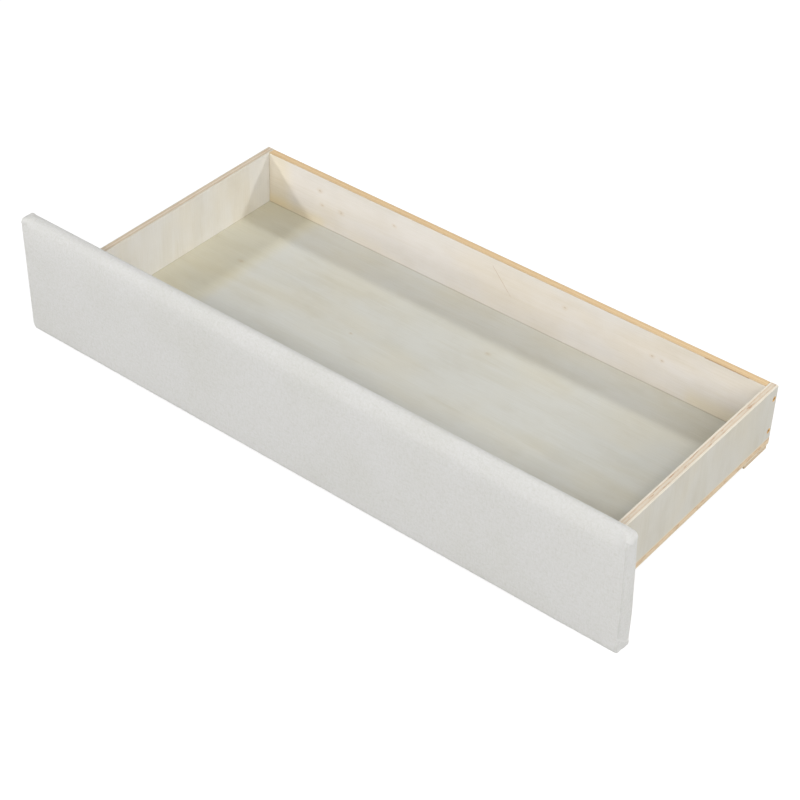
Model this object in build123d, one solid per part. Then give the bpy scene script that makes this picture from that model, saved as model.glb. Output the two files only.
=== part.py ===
"""Pull-out storage drawer of a daybed: a plywood box on four low castors, with an
upholstered front panel that is wider and higher than the box.

Millimetres. +X runs along the front to the right as seen from the front, +Y to the back
and +Z up. The origin is on the floor, at the middle of the drawer's width and depth.
"""
import os
from build123d import *

# Upholstered front panel
front_overhang = 54.5
front_rise = 66.5
front_drop = 14.5
fabric_thickness = 1.0
foam_thickness = 8.0
foam_crown_drop = 17.0
foam_toe_radius = 2.0
foam_end_radius = 3.0
front_board_thickness = 12.0
board_corner_radius = 6.0
board_edge_radius = 0.5
hem_width = 35.0
backing_thickness = 0.5
backing_margin = 4.0

# Staples in the rear of the front panel
staple_crown = 10.0
staple_wire_width = 1.2
staple_wire_thickness = 0.6
staple_pitch = 72.0

# Plywood box
box_width = 866.0
box_depth = 410.0
wall_height = 84.0
wall_thickness = 12.0
bottom_thickness = 12.0
rim_radius = 0.8

# Battens under the bottom panel
batten_width = 55.0
batten_thickness = 9.0
batten_end_inset = 1.5
batten_edge_inset = 1.0
batten_edge_radius = 0.8

# Countersunk wood screws
screw_length = 36.0
screw_shank_diameter = 3.6
screw_head_diameter = 8.0
screw_head_height = 2.6
screw_sink = 0.2
screw_spacing_from_tips = 15.0
screw_recess_span = 4.4
screw_recess_width = 1.0
screw_recess_depth = 1.5

# Castor wheels and axles
wheel_diameter = 25.0
wheel_width = 12.0
wheel_edge_radius = 1.2
wheel_rim_thickness = 2.6
wheel_hub_wall = 2.45
wheel_recess_depth = 2.4
wheel_rib_width = 1.8
wheel_rib_sink = 0.7
wheel_rib_count = 6
wheel_top_clearance = 3.5
wheel_side_clearance = 0.6
bore_clearance = 0.05
axle_diameter = 4.0
axle_head_diameter = 7.4
axle_head_height = 1.2
axle_head_radius = 0.7

# Castor brackets and the screws that hold them
castor_end_inset = 75.0
bracket_thickness = 1.5
bracket_bend_radius = 1.0
plate_length = 42.0
plate_corner_radius = 4.0
flange_width = 8.4
leg_top_width = 26.0
leg_tip_radius = 6.0
castor_screw_end_inset = 6.0
castor_screw_head_diameter = 6.0
castor_screw_head_height = 1.8
castor_screw_head_radius = 0.9
castor_screw_shank_diameter = 3.0
castor_screw_recess_span = 3.4
castor_screw_recess_width = 0.8
castor_screw_recess_depth = 1.1

# A cut runs past the faces that it goes through by this much
overrun = 1.0

# Shares of the sizes that they follow
staple_inset_share = 0.62
staple_bite_share = 0.5
screw_tip_share = 0.12
side_screw_height_shares = (0.15, 0.78)
side_foot_screw_shares = (-0.25, 0.0, 0.25)
end_foot_screw_shares = (-1.0, -0.5, 0.0, 0.5, 1.0)
fixing_screw_height_share = 0.5
fixing_screw_bite_share = 0.7
batten_screw_shares = (-0.5, 0.0, 0.5)
batten_screw_bite_share = 0.6
castor_screw_bite_share = 0.4

# The front panel stands past the box at both ends, above its walls and below its bottom
front_width = box_width + 2 * front_overhang
front_height = front_drop + bottom_thickness + wall_height + front_rise

# Places along Y, from the front panel's outer face to the rear of the box
core_thickness = foam_thickness + front_board_thickness
panel_thickness = core_thickness + 2 * fabric_thickness
front_face_y = -(panel_thickness + backing_thickness + box_depth) / 2
foam_front_y = front_face_y + fabric_thickness
board_front_y = foam_front_y + foam_thickness
board_rear_y = board_front_y + front_board_thickness
panel_rear_y = board_rear_y + fabric_thickness
box_front_y = panel_rear_y + backing_thickness
box_rear_y = box_front_y + box_depth
box_middle_y = (box_front_y + box_rear_y) / 2
front_wall_y = box_front_y + wall_thickness / 2
rear_wall_y = box_rear_y - wall_thickness / 2
front_batten_y = box_front_y + batten_edge_inset + batten_width / 2
rear_batten_y = box_rear_y - batten_edge_inset - batten_width / 2

# Places along Z, from the floor up
axle_z = wheel_diameter / 2
plate_bottom_z = wheel_diameter + wheel_top_clearance
batten_bottom_z = plate_bottom_z + bracket_thickness
bottom_low_z = batten_bottom_z + batten_thickness
bottom_top_z = bottom_low_z + bottom_thickness
wall_top_z = bottom_top_z + wall_height
front_bottom_z = bottom_low_z - front_drop
front_top_z = front_bottom_z + front_height
front_middle_z = (front_bottom_z + front_top_z) / 2

# Places along X, from the middle
side_outer_x = box_width / 2
side_inner_x = side_outer_x - wall_thickness
batten_end_x = side_outer_x - batten_end_inset
castor_x = side_outer_x - castor_end_inset
leg_inner_x = wheel_width / 2 + wheel_side_clearance
leg_outer_x = leg_inner_x + bracket_thickness
plate_half_width = leg_outer_x + flange_width


def block(x_range, y_range, z_range):
    """A square-edged solid between the two ends of each range."""
    ranges = (x_range, y_range, z_range)
    size = [high - low for low, high in ranges]
    middle = [(low + high) / 2 for low, high in ranges]
    return Pos(*middle) * Box(*size)


def placed(shape, point, direction):
    """The shape with its own origin at the point and its +Z turned to the direction."""
    return Plane(origin=point, z_dir=direction).location * shape


# Front panel: three outlines, each pushed through the panel, leave one rounded form.
# The core is the board with its foam, and the cover is the same form one fabric larger.
def panel_section(growth):
    """Side outline in Y and Z, with the crown of the foam over the top front edge."""
    front = foam_front_y - growth
    rear = board_rear_y + growth
    bottom = front_bottom_z + fabric_thickness - growth
    top = front_top_z - fabric_thickness + growth
    crown = foam_thickness + growth
    drop = foam_crown_drop + growth
    straight = Polyline(
        (front + crown, top), (rear, top), (rear, bottom), (front, bottom), (front, top - drop)
    )
    rounded = EllipticalCenterArc((front + crown, top - drop), crown, drop, 90, arc_size=90)
    outline = make_face([straight, rounded])
    corners = outline.vertices()
    outline = fillet(corners.group_by(Axis.X)[-1], board_edge_radius + growth)
    toe = outline.vertices().group_by(Axis.X)[0].sort_by(Axis.Y)[0]
    outline = fillet(toe, foam_toe_radius + growth)
    return extrude(Plane.YZ * outline, front_width / 2 + overrun, both=True)


def panel_plan(growth):
    """Top outline in X and Y, rounded at the four upright edges."""
    width = front_width - 2 * fabric_thickness + 2 * growth
    depth = core_thickness + 2 * growth
    outline = Rectangle(width, depth)
    outline = fillet(outline.vertices().group_by(Axis.Y)[0], foam_end_radius + growth)
    outline = fillet(outline.vertices().group_by(Axis.Y)[-1], board_edge_radius + growth)
    outline = Pos(0, (foam_front_y + board_rear_y) / 2, front_middle_z) * outline
    return extrude(outline, front_height / 2 + overrun, both=True)


def panel_elevation(growth):
    """Front outline in X and Z, with its four rounded corners."""
    width = front_width - 2 * fabric_thickness + 2 * growth
    height = front_height - 2 * fabric_thickness + 2 * growth
    outline = RectangleRounded(width, height, board_corner_radius + growth)
    outline = Plane.XZ * outline
    outline = Pos(0, (foam_front_y + board_rear_y) / 2, front_middle_z) * outline
    return extrude(outline, panel_thickness / 2 + overrun, both=True)


def panel_form(growth):
    """The whole rounded form, this much larger all round than the core."""
    return panel_section(growth) & panel_plan(growth) & panel_elevation(growth)


def panel_slab(y_range):
    """A slab wide and high enough to take a slice out of the panel."""
    half_width = front_width / 2 + overrun
    return block((-half_width, half_width), y_range, (front_bottom_z - overrun, front_top_z + overrun))


core = panel_form(0)
front_board = core & panel_slab((board_front_y, board_rear_y + overrun))
front_foam = core & panel_slab((foam_front_y - overrun, board_front_y))
rear_window = block(
    (-front_width / 2 + hem_width, front_width / 2 - hem_width),
    (board_front_y, panel_rear_y + overrun),
    (front_bottom_z + hem_width, front_top_z - hem_width),
)
front_cover = panel_form(fabric_thickness) - core - rear_window

# Backing cloth over the hems, stapled along the strip that shows below the box
staple_inset = front_drop * staple_inset_share
backing_half_width = front_width / 2 - staple_inset + backing_margin
backing_half_height = front_height / 2 - staple_inset + backing_margin
front_backing_cloth = block(
    (-backing_half_width, backing_half_width),
    (panel_rear_y, box_front_y),
    (front_middle_z - backing_half_height, front_middle_z + backing_half_height),
)


def staple():
    """One staple, with its crown along X on the origin's plane and its legs along -Z."""
    half_crown = staple_crown / 2
    half_wire = staple_wire_width / 2
    leg_end = -(backing_thickness + fabric_thickness + front_board_thickness * staple_bite_share)
    wire_y = (-half_wire, half_wire)
    shape = block((-half_crown, half_crown), wire_y, (0, staple_wire_thickness))
    left_leg = (-half_crown, -half_crown + staple_wire_thickness)
    right_leg = (half_crown - staple_wire_thickness, half_crown)
    for leg_x in (left_leg, right_leg):
        shape += block(leg_x, wire_y, (leg_end, staple_wire_thickness))
    return shape


def staple_row(length):
    """Places along a row of this length, spread evenly and clear of its two corners."""
    count = max(2, round(length / staple_pitch))
    return [length * ((step + 0.5) / count - 0.5) for step in range(count)]


def staple_ring():
    """Staples round the whole rear of the panel, a little inside its edges."""
    half_width = front_width / 2 - staple_inset
    half_height = front_height / 2 - staple_inset
    staples = []
    for side in (-1, 1):
        for x in staple_row(2 * half_width):
            seat = (x, box_front_y, front_middle_z + side * half_height)
            staples.append(Plane(seat, x_dir=(1, 0, 0), z_dir=(0, 1, 0)).location * staple())
        for z in staple_row(2 * half_height):
            seat = (side * half_width, box_front_y, front_middle_z + z)
            staples.append(Plane(seat, x_dir=(0, 0, 1), z_dir=(0, 1, 0)).location * staple())
    return staples


front_staples = staple_ring()


def cross_recess(span, width, depth):
    """The driver's cross, to be taken out of a screw head whose top is on the origin."""
    half = span / 2
    thin = width / 2
    rise = (-depth, overrun)
    return block((-half, half), (-thin, thin), rise) + block((-thin, thin), (-half, half), rise)


def countersunk_screws(seats, direction, length):
    """Screws sunk a little below their seats, and the tools that bore their holes."""
    head = screw_head_diameter / 2
    shank = screw_shank_diameter / 2
    neck_z = -screw_sink - screw_head_height
    half_outline = Polyline(
        (0, -screw_sink),
        (head, -screw_sink),
        (shank, neck_z),
        (shank, -length * (1 - screw_tip_share)),
        (0, -length),
        close=True,
    )
    body = revolve(Plane.XZ * make_face(half_outline), Axis.Z)
    mouth = Pos(0, 0, (overrun - screw_sink) / 2) * Cylinder(head, overrun + screw_sink)
    recess = cross_recess(screw_recess_span, screw_recess_width, screw_recess_depth)
    screw = body - Pos(0, 0, -screw_sink) * recess
    tool = body + mouth
    screws = [placed(screw, seat, direction) for seat in seats]
    tools = [placed(tool, seat, direction) for seat in seats]
    return screws, tools


# Screws through each side into the end grain of the sub-front and the back
side_screw_seats = [
    (y, bottom_top_z + wall_height * share)
    for y in (front_wall_y, rear_wall_y)
    for share in side_screw_height_shares
]
left_side_screws, left_side_tools = countersunk_screws(
    [(-side_outer_x, y, z) for y, z in side_screw_seats], (-1, 0, 0), screw_length
)
right_side_screws, right_side_tools = countersunk_screws(
    [(side_outer_x, y, z) for y, z in side_screw_seats], (1, 0, 0), screw_length
)

# Screws up through the bottom panel into the four walls
end_foot_x = side_outer_x - screw_length - screw_spacing_from_tips
side_foot_x = side_outer_x - wall_thickness / 2
bottom_screw_seats = [
    (side * side_foot_x, box_middle_y + box_depth * share, bottom_low_z)
    for side in (-1, 1)
    for share in side_foot_screw_shares
] + [
    (end_foot_x * share, y, bottom_low_z)
    for y in (front_wall_y, rear_wall_y)
    for share in end_foot_screw_shares
]
bottom_screws, bottom_tools = countersunk_screws(bottom_screw_seats, (0, 0, -1), screw_length)

# Screws from inside the sub-front into the front board, between the ones from below
fixing_length = (
    wall_thickness
    + backing_thickness
    + fabric_thickness
    + front_board_thickness * fixing_screw_bite_share
)
fixing_z = bottom_top_z + wall_height * fixing_screw_height_share
fixing_seats = [
    (end_foot_x * (low + high) / 2, box_front_y + wall_thickness, fixing_z)
    for low, high in zip(end_foot_screw_shares, end_foot_screw_shares[1:])
]
front_fixing_screws, fixing_tools = countersunk_screws(fixing_seats, (0, 1, 0), fixing_length)

# Screws up through each batten into the bottom panel, clear of the castor plates
batten_screw_length = batten_thickness + bottom_thickness * batten_screw_bite_share
batten_outer_screw_x = (castor_x + plate_half_width + batten_end_x) / 2
batten_screw_x = [castor_x * share for share in batten_screw_shares]
batten_screw_x += [-batten_outer_screw_x, batten_outer_screw_x]
batten_screws, batten_tools = countersunk_screws(
    [(x, y, batten_bottom_z) for y in (front_batten_y, rear_batten_y) for x in batten_screw_x],
    (0, 0, -1),
    batten_screw_length,
)


# Castors
def castor_screw_set(castor_places):
    """Pan-head screws, four to a castor plate, with their tools."""
    head = castor_screw_head_diameter / 2
    shank = castor_screw_shank_diameter / 2
    length = bracket_thickness + batten_thickness + bottom_thickness * castor_screw_bite_share
    tip = length * screw_tip_share
    head_form = Pos(0, 0, castor_screw_head_height / 2) * Cylinder(head, castor_screw_head_height)
    rim = head_form.edges().group_by(Axis.Z)[-1]
    head_form = fillet(rim, castor_screw_head_radius)
    half_outline = Polyline((0, 0), (shank, 0), (shank, tip - length), (0, -length), close=True)
    body = head_form + revolve(Plane.XZ * make_face(half_outline), Axis.Z)
    recess = cross_recess(
        castor_screw_recess_span, castor_screw_recess_width, castor_screw_recess_depth
    )
    screw = body - Pos(0, 0, castor_screw_head_height) * recess
    offset_x = leg_outer_x + flange_width / 2
    offset_y = plate_length / 2 - castor_screw_end_inset
    seats = [
        (x + side * offset_x, y + end * offset_y, plate_bottom_z)
        for x, y in castor_places
        for side in (-1, 1)
        for end in (-1, 1)
    ]
    screws = [placed(screw, seat, (0, 0, -1)) for seat in seats]
    tools = [placed(body, seat, (0, 0, -1)) for seat in seats]
    return screws, tools


def castor_bracket():
    """A pressed steel bracket: a plate with two legs that taper down to the axle."""
    plate_face = RectangleRounded(2 * plate_half_width, plate_length, plate_corner_radius)
    bracket = extrude(Pos(0, 0, plate_bottom_z) * plate_face, bracket_thickness)
    half_top = leg_top_width / 2
    top = Line((-half_top, plate_bottom_z), (half_top, plate_bottom_z))
    tip = Pos(0, axle_z) * Circle(leg_tip_radius)
    leg_face = make_hull([top.edge(), tip.edge()])
    for inner_x in (leg_inner_x, -leg_outer_x):
        leg_plane = Plane(origin=(inner_x, 0, 0), x_dir=(0, 1, 0), z_dir=(1, 0, 0))
        bracket += extrude(leg_plane * leg_face, bracket_thickness)
    low_edges = bracket.edges().filter_by(Axis.Y).group_by(Axis.Z)[0]
    bends = low_edges.group_by(lambda edge: abs(edge.center().X))[1]
    bracket = fillet(bends, bracket_bend_radius)
    return bracket - across(axle_diameter / 2, 2 * (leg_outer_x + overrun))


def across(radius, length):
    """A round bar of this length along X, centred on the axle's line."""
    return Pos(0, 0, axle_z) * Rot(0, 90, 0) * Cylinder(radius, length)


def castor_axle():
    """A riveted axle, with a rounded head outside each leg."""
    axle = across(axle_diameter / 2, 2 * leg_outer_x)
    head = Cylinder(axle_head_diameter / 2, axle_head_height)
    head = fillet(head.edges().group_by(Axis.Z)[-1], axle_head_radius)
    for side in (-1, 1):
        seat = (side * (leg_outer_x + axle_head_height / 2), 0, axle_z)
        axle += placed(head, seat, (side, 0, 0))
    return axle


def castor_wheel():
    """A moulded wheel with a solid tread, a hub and ribs in both recessed faces."""
    half = wheel_width / 2
    floor = half - wheel_recess_depth
    radius = wheel_diameter / 2
    bore = axle_diameter / 2 + bore_clearance
    hub = bore + wheel_hub_wall
    rim = radius - wheel_rim_thickness
    outline = make_face(
        Polyline(
            (-half, bore),
            (half, bore),
            (half, hub),
            (floor, hub),
            (floor, rim),
            (half, rim),
            (half, radius),
            (-half, radius),
            (-half, rim),
            (-floor, rim),
            (-floor, hub),
            (-half, hub),
            close=True,
        )
    )
    outline = fillet(outline.vertices().group_by(Axis.Y)[-1], wheel_edge_radius)
    wheel = revolve(outline, Axis.X)
    rib_y = (-wheel_rib_width / 2, wheel_rib_width / 2)
    rib_z = (hub - wheel_hub_wall / 2, rim + wheel_rim_thickness / 2)
    for rib_x in ((floor, half - wheel_rib_sink), (wheel_rib_sink - half, -floor)):
        rib = block(rib_x, rib_y, rib_z)
        for step in range(wheel_rib_count):
            wheel += Rot(360 * step / wheel_rib_count, 0, 0) * rib
    return Pos(0, 0, axle_z) * wheel


castor_places = {
    "front_left": (-castor_x, front_batten_y),
    "front_right": (castor_x, front_batten_y),
    "rear_left": (-castor_x, rear_batten_y),
    "rear_right": (castor_x, rear_batten_y),
}
castor_screws, castor_tools = castor_screw_set(castor_places.values())


# Boards of the box, with their upper rims eased by a light sanding
def rimmed(board, along):
    """The board with the two long edges of its top rounded."""
    return fillet(board.edges().filter_by(along).group_by(Axis.Z)[-1], rim_radius)


def side_board(side, tools):
    """One side, on top of the bottom panel and as deep as the box."""
    faces = sorted((side * side_inner_x, side * side_outer_x))
    board = block(faces, (box_front_y, box_rear_y), (bottom_top_z, wall_top_z))
    return rimmed(board, Axis.Y) - tools


def end_board(middle_y, tools):
    """The sub-front or the back, between the two sides."""
    faces = (middle_y - wall_thickness / 2, middle_y + wall_thickness / 2)
    board = block((-side_inner_x, side_inner_x), faces, (bottom_top_z, wall_top_z))
    return rimmed(board, Axis.X) - tools


def batten(middle_y, tools):
    """A flat strip under the bottom panel, with its two lower long edges eased."""
    board = block(
        (-batten_end_x, batten_end_x),
        (middle_y - batten_width / 2, middle_y + batten_width / 2),
        (batten_bottom_z, bottom_low_z),
    )
    lower = board.edges().filter_by(Axis.X).group_by(Axis.Z)[0]
    return fillet(lower, batten_edge_radius) - tools


bottom_panel = block(
    (-side_outer_x, side_outer_x), (box_front_y, box_rear_y), (bottom_low_z, bottom_top_z)
)
side_tools = left_side_tools + right_side_tools
nodes = {
    "front_board": front_board - (front_staples + fixing_tools),
    "front_foam": front_foam,
    "front_cover": front_cover - front_staples,
    "front_backing_cloth": front_backing_cloth - (front_staples + fixing_tools),
    "front_staples": Compound(children=front_staples),
    "side_left": side_board(-1, left_side_tools + bottom_tools),
    "side_right": side_board(1, right_side_tools + bottom_tools),
    "box_front": end_board(front_wall_y, side_tools + bottom_tools + fixing_tools),
    "box_back": end_board(rear_wall_y, side_tools + bottom_tools),
    "bottom_panel": bottom_panel - (bottom_tools + batten_tools + castor_tools),
    "front_batten": batten(front_batten_y, batten_tools + castor_tools),
    "rear_batten": batten(rear_batten_y, batten_tools + castor_tools),
    "left_side_screws": Compound(children=left_side_screws),
    "right_side_screws": Compound(children=right_side_screws),
    "bottom_screws": Compound(children=bottom_screws),
    "front_fixing_screws": Compound(children=front_fixing_screws),
    "batten_screws": Compound(children=batten_screws),
    "castor_screws": Compound(children=castor_screws),
}
for name, (x, y) in castor_places.items():
    nodes["castor_bracket_" + name] = Pos(x, y, 0) * castor_bracket() - castor_tools
    nodes["castor_axle_" + name] = Pos(x, y, 0) * castor_axle()
    nodes["castor_wheel_" + name] = Pos(x, y, 0) * castor_wheel()

os.makedirs("parts", exist_ok=True)
for name, shape in nodes.items():
    export_step(shape, "parts/" + name + ".step")
    print(name, len(shape.solids()), "solids,", round(shape.volume / 1000, 3), "cm3")
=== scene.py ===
import math
import bpy
from mathutils import Matrix, Vector, noise


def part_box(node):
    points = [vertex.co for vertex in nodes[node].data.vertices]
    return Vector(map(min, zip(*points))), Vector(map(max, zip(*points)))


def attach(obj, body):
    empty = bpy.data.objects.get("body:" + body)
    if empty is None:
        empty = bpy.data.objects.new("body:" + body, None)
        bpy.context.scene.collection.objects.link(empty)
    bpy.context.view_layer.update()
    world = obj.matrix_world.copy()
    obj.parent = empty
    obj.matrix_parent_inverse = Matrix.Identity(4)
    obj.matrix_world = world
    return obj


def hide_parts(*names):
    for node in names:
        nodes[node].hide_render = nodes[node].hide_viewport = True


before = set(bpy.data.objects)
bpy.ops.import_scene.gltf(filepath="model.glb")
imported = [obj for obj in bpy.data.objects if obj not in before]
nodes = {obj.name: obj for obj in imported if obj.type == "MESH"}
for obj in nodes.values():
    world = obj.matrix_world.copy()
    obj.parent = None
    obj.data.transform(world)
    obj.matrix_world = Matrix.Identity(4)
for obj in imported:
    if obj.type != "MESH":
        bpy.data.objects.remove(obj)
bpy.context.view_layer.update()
mm = 0.001


# Bottom panel
# One sheet of 12 mm poplar plywood under the four walls, with its grain along the width.
# Its faces have a thin white wash, and its sawn edges are bare and show the plies.
def paint(red, green, blue):
    """A colour from the 0 to 255 values that a paint chart gives."""
    shares = [value / 255 for value in (red, green, blue)]
    straight = [share / 12.92 if share < 0.0431 else ((share + 0.055) / 1.055) ** 2.4 for share in shares]
    return (*straight, 1)


def add_node(tree, kind, sockets=(), **settings):
    """A shader node with these settings, whose sockets take values or other nodes' outputs."""
    made = tree.nodes.new("ShaderNode" + kind)
    for name, value in settings.items():
        setattr(made, name, value)
    for key, value in dict(sockets).items():
        if isinstance(value, bpy.types.NodeSocket):
            tree.links.new(value, made.inputs[key])
        else:
            made.inputs[key].default_value = value
    return made


def reckon(tree, operation, *values):
    """The result of a Math node."""
    return add_node(tree, "Math", dict(enumerate(values)), operation=operation).outputs[0]


def rise(tree, value, low, high):
    """0 below the first value and 1 above the second, with a smooth rise between them."""
    sockets = {"Value": value, "From Min": low, "From Max": high}
    return add_node(tree, "MapRange", sockets, interpolation_type="SMOOTHSTEP").outputs[0]


def fall(tree, value, low, high):
    """1 below the first value and 0 above the second, with a smooth fall between them."""
    return reckon(tree, "SUBTRACT", 1.0, rise(tree, value, low, high))


def move_place(tree, operation, place, by):
    """The place that a Vector Math node makes of this one."""
    key = 3 if operation == "SCALE" else 1
    return add_node(tree, "VectorMath", {0: place, key: by}, operation=operation).outputs[0]


def measured(tree, operation, first, second):
    """The number that a Vector Math node takes from two places."""
    return add_node(tree, "VectorMath", {0: first, 1: second}, operation=operation).outputs["Value"]


def taken_apart(tree, place):
    """The three coordinates of a place."""
    return add_node(tree, "SeparateXYZ", {0: place}).outputs


def off_line(tree, first, second):
    """How far a place lies off a line, from how far it lies off in two directions."""
    squares = reckon(tree, "MULTIPLY_ADD", first, first, reckon(tree, "POWER", second, 2.0))
    return reckon(tree, "SQRT", squares)


def mixed(tree, share, first, second, blend_type="MIX"):
    """This share of the second colour over the first."""
    sockets = {0: share, 6: first, 7: second}
    return add_node(tree, "Mix", sockets, data_type="RGBA", blend_type=blend_type).outputs[2]


def grainy(tree, place, stretch, detail=3.0, roughness=0.5, distortion=0.0):
    """Soft noise at the place, with this many features to the unit in each direction."""
    sockets = {
        "Vector": move_place(tree, "MULTIPLY", place, stretch), "Scale": 1.0, "Detail": detail,
        "Roughness": roughness, "Distortion": distortion,
    }
    return add_node(tree, "TexNoise", sockets).outputs[0]


def start_group(name, inputs, outputs):
    """A new shader node group, with the sockets that it takes and those that it gives."""
    tree = bpy.data.node_groups.new(name, "ShaderNodeTree")
    for way, sockets in (("INPUT", inputs), ("OUTPUT", outputs)):
        for socket, kind in sockets.items():
            tree.interface.new_socket(socket, in_out=way, socket_type="NodeSocket" + kind)
    taken = tree.nodes.new("NodeGroupInput").outputs
    given = tree.nodes.new("NodeGroupOutput").inputs
    return tree, taken, given


def add_group(tree, group, sockets):
    """The outputs of a node group placed in a material or in another group."""
    made = tree.nodes.new("ShaderNodeGroup")
    made.node_tree = group
    for key, value in sockets.items():
        if isinstance(value, bpy.types.NodeSocket):
            tree.links.new(value, made.inputs[key])
        else:
            made.inputs[key].default_value = value
    return made.outputs


def make_plywood():
    """Five plies seen on any cut, glue lines, voids, and the washed grain of the two faces.
    Place is in millimetres along the face grain, across it and from the middle of the board,
    and the inside is the face on the far side of the board in the last of these."""
    inputs = {
        "Place": "Vector", "Inside": "Color", "Outside": "Color", "Veneer": "Color", "Cross": "Color",
        "Centre": "Color", "Veneer Depth": "Float", "Seed": "Float", "Voids": "Float",
    }
    outputs = {"Colour": "Color", "Roughness": "Float", "Height": "Float"}
    tree, taken, given = start_group("plywood", inputs, outputs)
    face_depth = 6.0
    skin_depth = 0.1
    centre_depth = 1.3
    glue_width = 0.22
    seed = reckon(tree, "MULTIPLY", taken["Seed"], 97.0)
    shift = add_node(tree, "CombineXYZ", {0: seed, 1: seed}).outputs[0]
    place = move_place(tree, "ADD", taken["Place"], shift)
    from_middle = taken_apart(tree, taken["Place"])[2]
    depth = reckon(tree, "ABSOLUTE", from_middle)
    skin = rise(tree, depth, face_depth - skin_depth, face_depth - skin_depth / 4)

    # The plies wander a little along the board
    wander = grainy(tree, place, (0.012, 0.012, 0.0), detail=1.0)
    wander = reckon(tree, "MULTIPLY_ADD", wander, 0.9, -0.45)
    wavy = reckon(tree, "ADD", depth, wander)
    ply_line = reckon(tree, "SUBTRACT", face_depth, taken["Veneer Depth"])
    veneer = rise(tree, reckon(tree, "SUBTRACT", wavy, ply_line), -0.1, 0.1)
    centre = fall(tree, wavy, centre_depth - 0.1, centre_depth + 0.1)
    long_grain = grainy(tree, place, (0.05, 0.05, 2.2), detail=4.0)
    end_grain = grainy(tree, place, (1.1, 1.1, 0.8), detail=3.0, roughness=0.6)
    pores = rise(tree, end_grain, 0.5, 0.72)
    brown = mixed(tree, 1.0, taken["Cross"], paint(212, 182, 144), "MULTIPLY")
    cross = mixed(tree, reckon(tree, "MULTIPLY", pores, 0.6), taken["Cross"], brown)
    plies = mixed(tree, centre, cross, taken["Centre"])
    plies = mixed(tree, veneer, plies, taken["Veneer"])
    streak = rise(tree, long_grain, 0.35, 0.7)
    plies = mixed(tree, reckon(tree, "MULTIPLY", streak, 0.3), plies, paint(222, 198, 166), "MULTIPLY")
    at_glue = reckon(tree, "ABSOLUTE", reckon(tree, "SUBTRACT", wavy, ply_line))
    glue = fall(tree, at_glue, glue_width / 3, glue_width)
    plies = mixed(tree, reckon(tree, "MULTIPLY", glue, 0.3), plies, paint(182, 146, 108))
    gaps = grainy(tree, place, (0.045, 0.045, 0.55), detail=2.0)
    gaps = rise(tree, gaps, 0.6, 0.66)
    gaps = reckon(tree, "MULTIPLY", gaps, reckon(tree, "SUBTRACT", 1.0, veneer))
    gaps = reckon(tree, "MULTIPLY", gaps, taken["Voids"])
    plies = mixed(tree, reckon(tree, "MULTIPLY", gaps, 0.75), plies, paint(198, 148, 100))

    # The wash on the faces lets the grain through
    threads = grainy(tree, place, (0.014, 0.9, 0.0), detail=4.0, roughness=0.65)
    bands = grainy(tree, place, (0.004, 0.035, 0.0), detail=3.0, distortion=0.8)
    clouds = grainy(tree, place, (0.012, 0.02, 0.0), detail=4.0, roughness=0.6)
    warmth = grainy(tree, place, (0.006, 0.011, 3.0), detail=3.0)
    dashes = grainy(tree, place, (0.13, 2.0, 0.0), detail=2.0)
    dashes = rise(tree, dashes, 0.62, 0.8)
    washed = rise(tree, from_middle, -0.1, 0.1)
    face = mixed(tree, washed, taken["Outside"], taken["Inside"])
    face = mixed(tree, rise(tree, threads, 0.4, 0.75), face, paint(249, 248, 245), "MULTIPLY")
    face = mixed(tree, rise(tree, bands, 0.42, 0.7), face, paint(251, 250, 247), "MULTIPLY")
    face = mixed(tree, rise(tree, clouds, 0.42, 0.72), face, paint(250, 249, 247), "MULTIPLY")
    face = mixed(tree, rise(tree, warmth, 0.4, 0.7), face, paint(255, 252, 245), "MULTIPLY")
    face = mixed(tree, reckon(tree, "MULTIPLY", dashes, 0.5), face, paint(240, 234, 222), "MULTIPLY")
    tree.links.new(mixed(tree, skin, plies, face), given["Colour"])
    rough = reckon(tree, "MULTIPLY_ADD", threads, 0.2, 0.5)
    tree.links.new(reckon(tree, "ADD", rough, reckon(tree, "MULTIPLY", gaps, 0.2)), given["Roughness"])
    fine = reckon(tree, "MULTIPLY", threads, 0.06)
    fine = reckon(tree, "SUBTRACT", fine, reckon(tree, "MULTIPLY", dashes, 0.05))
    bare = reckon(tree, "MULTIPLY", end_grain, 0.15)
    bare = reckon(tree, "SUBTRACT", bare, reckon(tree, "MULTIPLY", gaps, 0.8))
    bare = reckon(tree, "SUBTRACT", bare, reckon(tree, "MULTIPLY", glue, 0.08))
    height = add_node(tree, "Mix", {0: skin, 2: bare, 3: fine}, data_type="FLOAT").outputs[0]
    tree.links.new(height, given["Height"])
    return tree


def make_knot():
    """A small knot that is drawn out along the grain, with its dark heart and paler ring."""
    inputs = {"Place": "Vector", "Along": "Float", "Across": "Float", "Radius": "Float"}
    tree, taken, given = start_group("knot", inputs, {"Heart": "Float", "Ring": "Float"})
    split = taken_apart(tree, taken["Place"])
    along = reckon(tree, "MULTIPLY", reckon(tree, "SUBTRACT", split[0], taken["Along"]), 0.7)
    across = reckon(tree, "SUBTRACT", split[1], taken["Across"])
    ragged = grainy(tree, taken["Place"], (0.35, 0.5, 0.0), detail=3.0)
    away = reckon(tree, "DIVIDE", off_line(tree, along, across), taken["Radius"])
    away = reckon(tree, "ADD", away, reckon(tree, "MULTIPLY_ADD", ragged, 2.4, -1.1))
    tree.links.new(fall(tree, away, 0.3, 1.2), given["Heart"])
    tree.links.new(fall(tree, away, 0.9, 3.2), given["Ring"])
    return tree


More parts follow.
